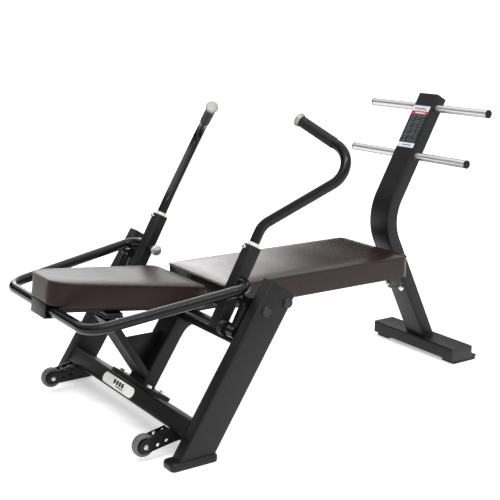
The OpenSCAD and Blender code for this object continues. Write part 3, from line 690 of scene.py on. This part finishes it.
def seam_ring(name, outline_fn, M, z, inset, r, body, mat, step=0.003, squash=1.0):
    ol = dedupe(outline_fn(inset))
    pts = [M @ Vector((p.x / 1000, p.y / 1000, z / 1000)) for p in ol]
    pts = resample(pts, step, True)
    v, f = tube_along(pts, r / 1000.0, 8, True, squash)
    o = make(name, v, f, mat, body)
    return o


def stitch_ring(name, outline_fn, M, z, inset, body, pitch=0.0058, length=0.0040, r=0.00042):
    ol = dedupe(outline_fn(inset))
    pts = resample([M @ Vector((p.x / 1000, p.y / 1000, z / 1000)) for p in ol], pitch, True)
    parts = []
    n = len(pts)
    for i in range(n):
        t = (pts[(i + 1) % n] - pts[i - 1]).normalized()
        a, b = pts[i] - t * length / 2, pts[i] + t * length / 2
        parts.append(tube_along([a, a.lerp(b, 0.25), a.lerp(b, 0.5), a.lerp(b, 0.75), b],
                                lambda k, r=r: r * (0.55, 0.95, 1.0, 0.95, 0.55)[k], 5, False))
    V, F = join_lists(parts)
    return make(name, V, F, THREAD, body)


SEATF = Matrix.Identity(4)
SEATF.translation = Vector((-OX / 1000.0, 0, 0.367))
seat = make_pad("seat_cushion", pad_outline_seat, SEATF, -11.2, 64.3, 4.2, 4.0, "frame", "seat_pad", VINYL)
PADM = PADF @ T(0, 0, -62)
back = make_pad("back_cushion", pad_outline_back, PADM, -11.2, 60.5, 3.8, 4.0, "back_rest", "back_pad", VINYL_BACK)
seam_ring("seat_seam_top", pad_outline_seat, SEATF, 61.7, -0.2, 1.5, "frame", PIPING)
seam_ring("back_seam_top", pad_outline_back, PADM, 57.9, -0.2, 1.5, "back_rest", PIPING)


# ---------------------------------------------------------------- grips
def grip(sy):
    side = "left" if sy > 0 else "right"
    H = sleeve_frame(sy) @ T(0, 0, 45.5) @ RZ(sy * 58.7)

    def after(r, a):
        return T(r * (1 - math.cos(math.radians(a))), 0, r * math.sin(math.radians(a))) @ RY(a)
    H = H @ after(68, 38.8) @ T(0, 0, 222) @ RZ(180 + sy * 2.4) @ after(72, 114.9)
    M = H @ T(0, 0, 143.5 - 132)
    prof = [(16.05, 0.0), (16.5, 0.0), (17.3, 0.5), (17.7, 1.6), (17.7, 4.4), (17.4, 5.4), (17.1, 6.0)]
    z = 7.6
    while z < 124:
        prof += [(17.05, z), (17.42, z + 0.5), (17.5, z + 1.1), (17.5, z + 2.0), (17.42, z + 2.6), (17.05, z + 3.1)]
        z += 4.2
    prof += [(17.1, 126.4), (17.6, 127.4), (17.8, 129.0), (17.8, 131.0), (17.4, 132.0), (16.05, 132.0)]
    v, f = lathe(prof, M, 64, closed=True)
    o = make(side + "_grip_sleeve", v, f, GRIP, side + "_handle_unit")
    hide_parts(side + "_grip")


for sy in (-1, 1):
    grip(sy)


# ---------------------------------------------------------------- wheels
def wheel(sy):
    side = "left" if sy > 0 else "right"
    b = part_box(side + "_tyre")
    c = (b[0] + b[1]) / 2
    M = Matrix.Translation(c) @ RX(90)
    R = (b[1].z - b[0].z) / 2 * 1000
    prof = [(23.0, -11.6), (26.0, -12.0), (29.5, -11.6), (32.2, -10.2), (33.5, -7.8), (R, -5.0), (R, -1.0), (R - 0.9, -0.5), (R - 0.9, 0.5), (R, 1.0),
            (R, 5.0), (33.5, 7.8), (32.2, 10.2), (29.5, 11.6), (26.0, 12.0), (23.0, 11.6)]
    v, f = lathe(prof, M, 72, closed=True)
    o = make(side + "_wheel_tread", v, f, TYRE, side + "_wheel")
    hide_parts(side + "_tyre")


for sy in (-1, 1):
    wheel(sy)


# ---------------------------------------------------------------- foot caps
for sy in (-1, 1):
    side = "left" if sy > 0 else "right"
    M = Matrix.Identity(4)
    M.translation = P(-493, sy * 425.5, 0)
    rings = [(5.0, 0.0), (2.4, 0.5), (0.8, 2.0), (0.1, 4.2), (0.0, 7.0), (0.0, 14.0), (0.5, 17.0), (1.7, 19.6), (3.6, 21.6), (6.0, 22.9), (8.6, 23.4)]
    v, f = closed_prism(lambda i: [Vector((p.x, p.y, 0)) for p in rounded_loop(154 - 2 * i, 64 - 2 * i, 15, 0, 0, 10)], rings, M)
    o = make(side + "_foot_boot", v, f, RUBBER, "frame")
    es = o.modifiers.new("split", "EDGE_SPLIT")
    es.split_angle = math.radians(50)
    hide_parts(side + "_foot_cap")

# ---------------------------------------------------------------- artwork
def slab(M, cx, cy, a, b, z0, z1, r=1.0, bev=0.25):
    """Thin printed or raised patch with soft edges."""
    loops = []
    for inset, z in ((0, z0), (0, z1 - bev), (bev, z1)):
        loops.append([M @ (Vector((p.x, p.y, z)) / 1000.0) for p in rounded_loop(a - 2 * inset, b - 2 * inset, max(0.2, r - inset), cx, cy, 4)])
    n = len(loops[0])
    V = sum(loops, [])
    F = []
    for k in range(2):
        for i in range(n):
            j = (i + 1) % n
            F.append((k * n + i, k * n + j, (k + 1) * n + j, (k + 1) * n + i))
    F.append(tuple(range(n))[::-1])
    F.append(tuple(2 * n + i for i in range(n)))
    return V, F


# badge: a plain capsule with three slanted bars and a row of dots
MB = LEGS @ T(-2.5, 30, -489) @ RY(-90)
parts = []
for k in range(4):
    q = MB @ T(3.2, 24 - k * 18.0, 0) @ RZ(22)
    parts.append(slab(q, 0, 0, 15, 13.5, 0.0, 0.5, 1.2, 0.12))
for k in range(4):
    parts.append(slab(MB, -9.0, 4 - k * 13.0, 4.5, 9.5, 0.0, 0.5, 1.4, 0.12))
V, F = join_lists(parts)
make("badge_marks", V, F, INK, "frame", smooth=False)
V, F = slab(MB, 0, 0, 30, 206, -0.02, 0.22, 14.9, 0.15)
rim = make("badge_face", V, F, BADGE, "frame", smooth=False)

# placard: header, coloured band, rows of dashes, footer, all plain shapes
MP = POST_UP @ T(-25, 0, 268.5) @ RY(-90)
V, F = join_lists([slab(MP, 71.5, 0, 21, 86, 1.55, 1.95, 0.8, 0.15), slab(MP, -73.5, 0, 18, 86, 1.55, 1.95, 0.8, 0.15)])
make("placard_white_bands", V, F, WHITEP, "frame", smooth=False)
V, F = slab(MP, 54.0, 0, 12.5, 86, 1.55, 1.95, 0.6, 0.15)
make("placard_red_band", V, F, REDP, "frame", smooth=False)
parts = []
for row in range(17):
    cx = 43.0 - row * 6.2
    k = row % 4
    for c, w in ((-30, (14, 10, 16, 12)[k]), (-6, (26, 20, 12, 24)[k]), (24, (18, 26, 22, 14)[k])):
        parts.append(slab(MP, cx, c + (row * 7 % 5) - 2, 2.3 if k else 3.4, w, 1.55, 1.85, 0.9, 0.1))
V, F = join_lists(parts)
make("placard_rows", V, F, GREYP, "frame", smooth=False)
parts = [slab(MP, -73.5, -4, 3.0, 46, 1.9, 2.15, 1.2, 0.1), slab(MP, 72.5, 6, 3.4, 58, 1.9, 2.15, 1.2, 0.1), slab(MP, 66.5, 0, 2.4, 66, 1.9, 2.15, 1.0, 0.1)]
V, F = join_lists(parts)
make("placard_lines", V, F, GREYP, "frame", smooth=False)
V, F = join_lists([slab(MP, 54, -4, 4.0, 50, 1.9, 2.15, 1.4, 0.1)])
make("placard_red_mark", V, F, WHITEP, "frame", smooth=False)
V, F = join_lists([slab(MP, 84.0, 0, 2.8, 86, 1.55, 1.95, 0.6, 0.1), slab(MP, -84.3, 0, 2.6, 86, 1.55, 1.95, 0.6, 0.1)])
make("placard_blue_edges", V, F, BLUEP, "frame", smooth=False)

# ---------------------------------------------------------------- stage
fm, fnt, fb = new_mat("floor")
fv = coords(fnt)
fn = noise_tex(fnt, fv, 3.0, 3.0)
fnt.links.new(ramp(fnt, fn.outputs["Fac"], [(0.3, (0.965, 0.965, 0.965)), (0.7, (0.98, 0.98, 0.98))]), fb.inputs["Base Color"])
fb.inputs["Roughness"].default_value = 0.9
fb.inputs["Specular IOR Level"].default_value = 0.1
fb.inputs["Emission Color"].default_value = (1, 1, 1, 1)
fb.inputs["Emission Strength"].default_value = 0.42
me = bpy.data.meshes.new("floor")
s = 60.0
me.from_pydata([(-s, -s, 0), (s, -s, 0), (s, s, 0), (-s, s, 0)], [], [(0, 1, 2, 3)])
me.materials.append(fm)
floor = bpy.data.objects.new("floor", me)
COL.objects.link(floor)

world = bpy.data.worlds.new("studio")
scene.world = world
world.use_nodes = True
wn = world.node_tree
wn.nodes.clear()
wout = wn.nodes.new("ShaderNodeOutputWorld")
bg = wn.nodes.new("ShaderNodeBackground")
wn.links.new(bg.outputs[0], wout.inputs[0])
wc = wn.nodes.new("ShaderNodeTexCoord").outputs["Generated"]
sep = wn.nodes.new("ShaderNodeSeparateXYZ")
wn.links.new(wc, sep.inputs[0])


def wmap(val, a, b, c, d):
    q = wn.nodes.new("ShaderNodeMapRange")
    q.interpolation_type = "SMOOTHSTEP"
    wn.links.new(val, q.inputs["Value"])
    for k, v in zip(("From Min", "From Max", "To Min", "To Max"), (a, b, c, d)):
        q.inputs[k].default_value = v
    return q.outputs["Result"]


def wmath(op, a, b):
    q = wn.nodes.new("ShaderNodeMath")
    q.operation = op
    for i, v in enumerate((a, b)):
        if isinstance(v, (int, float)):
            q.inputs[i].default_value = v
        else:
            wn.links.new(v, q.inputs[i])
    return q.outputs[0]


SKY, LOW, LOBE = 1.75, 0.02, 4.8
high = wmath("MULTIPLY", wmap(sep.outputs["Z"], 0.28, 0.62, LOW, SKY), wmap(sep.outputs["X"], -0.65, -0.05, 0.4, 1.0))
# tall soft box behind the bench, the sheen on the pads
dl = wn.nodes.new("ShaderNodeVectorMath")
dl.operation = "DOT_PRODUCT"
wn.links.new(wc, dl.inputs[0])
la = math.radians(64.0)
dl.inputs[1].default_value = (-math.sin(la), math.cos(la), 0.0)
lobe = wmath("MULTIPLY", wmap(dl.outputs["Value"], -0.19, -0.055, 0.0, 1.0), wmap(dl.outputs["Value"], 0.34, 0.12, 0.0, 1.0))
lobe = wmath("MULTIPLY", lobe, wmath("MULTIPLY", wmap(sep.outputs["Z"], 0.03, 0.24, 0.0, LOBE), wmap(sep.outputs["Y"], 0.1, 0.3, 0.0, 1.0)))
lobe = wmath("MULTIPLY", lobe, wmap(sep.outputs["Z"], 0.60, 0.36, 0.0, 1.0))
front = wmap(sep.outputs["Y"], -0.1, -0.6, 0.0, 0.8)
tot = wmath("ADD", wmath("MAXIMUM", high, front), lobe)
lp = wn.nodes.new("ShaderNodeLightPath").outputs["Is Camera Ray"]
mixw = wn.nodes.new("ShaderNodeMix")
mixw.data_type = "FLOAT"
wn.links.new(lp, mixw.inputs[0])
wn.links.new(tot, mixw.inputs[2])
mixw.inputs[3].default_value = 1.1
wn.links.new(mixw.outputs[0], bg.inputs["Strength"])
bg.inputs["Color"].default_value = (1.0, 1.0, 1.0, 1)


def area(name, loc, target, size, size_y, power, color=(1, 1, 1)):
    l = bpy.data.lights.new(name, "AREA")
    l.shape = "RECTANGLE"
    l.size, l.size_y = size, size_y
    l.energy = power
    l.color = color
    o = bpy.data.objects.new(name, l)
    o.location = loc
    d = Vector(target) - Vector(loc)
    o.rotation_euler = d.to_track_quat("-Z", "Y").to_euler()
    COL.objects.link(o)
    o.visible_camera = False
    return o


AZ, EL = math.radians(-33.28), math.radians(13.01)
back_dir = Vector((math.sin(AZ) * math.cos(EL), -math.cos(AZ) * math.cos(EL), math.sin(EL)))
cam_pos = P(-1848, -2800, 1258.04)
right = Vector((math.cos(AZ), math.sin(AZ), 0))
area("key_left", (-3.2, -1.2, 2.8), (0, 0, 0.4), 1.6, 1.6, 5)
area("strip", (-0.9, -1.7, 2.6), (-0.2, 0, 0.5), 2.4, 0.12, 26)
area("top_soft", (0.2, 0.3, 3.4), (0, 0, 0.3), 1.2, 2.6, 12)

cam = bpy.data.cameras.new("camera")
cam.sensor_width = 36.0
cam.sensor_fit = "HORIZONTAL"
cam.lens = 1028.0 / 500.0 * 36.0
cam.clip_end = 200
co = bpy.data.objects.new("camera", cam)
co.location = cam_pos
co.rotation_euler = (-back_dir).to_track_quat("-Z", "Y").to_euler()
COL.objects.link(co)
scene.camera = co
scene.view_settings.view_transform = "Standard"
scene.view_settings.look = "None"
scene.view_settings.exposure = 0.0
scene.view_settings.gamma = 1.0
